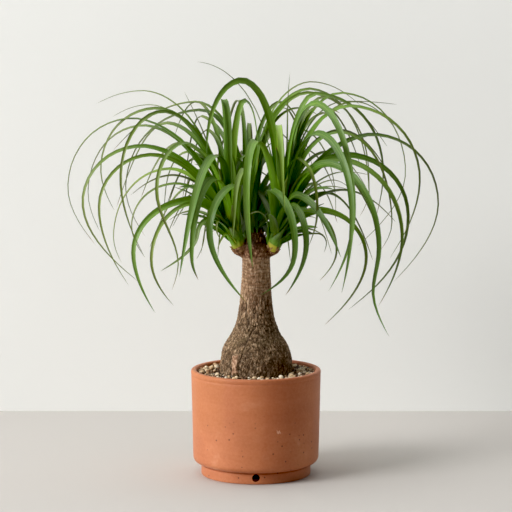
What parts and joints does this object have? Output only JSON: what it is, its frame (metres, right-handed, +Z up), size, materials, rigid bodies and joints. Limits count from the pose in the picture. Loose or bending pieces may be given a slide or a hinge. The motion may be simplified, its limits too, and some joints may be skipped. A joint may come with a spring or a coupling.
{
  "type": "potted ponytail palm",
  "caption": "Ponytail palm with a swollen grey-brown base, a short stem and arching tufts of long strap leaves, in a footed terracotta pot topped with pebbles.",
  "frame": {"origin": "centre of the pot's flat underside, on the surface it stands on", "axes": "+Z up along the pot's axis, -Y towards the front, where the drain hole is, +X to the right seen from the front"},
  "size_m": [0.4592, 0.3256, 0.5105],
  "materials": {
    "terracotta": "matte, dry, faintly mottled fired clay",
    "soil": "loose, dark and dull",
    "gravel": "dull rounded pebbles in dark grit",
    "bark": "rough and fissured",
    "leaf": "smooth, softly waxy"
  },
  "bodies": {
    "root": {"pot": "terracotta", "soil": "soil", "gravel_topping": "gravel", "trunk": "bark", "leaf_head_left": "leaf", "leaf_head_right": "leaf", "leaf_head_back": "leaf"}
  },
  "joints": []
}
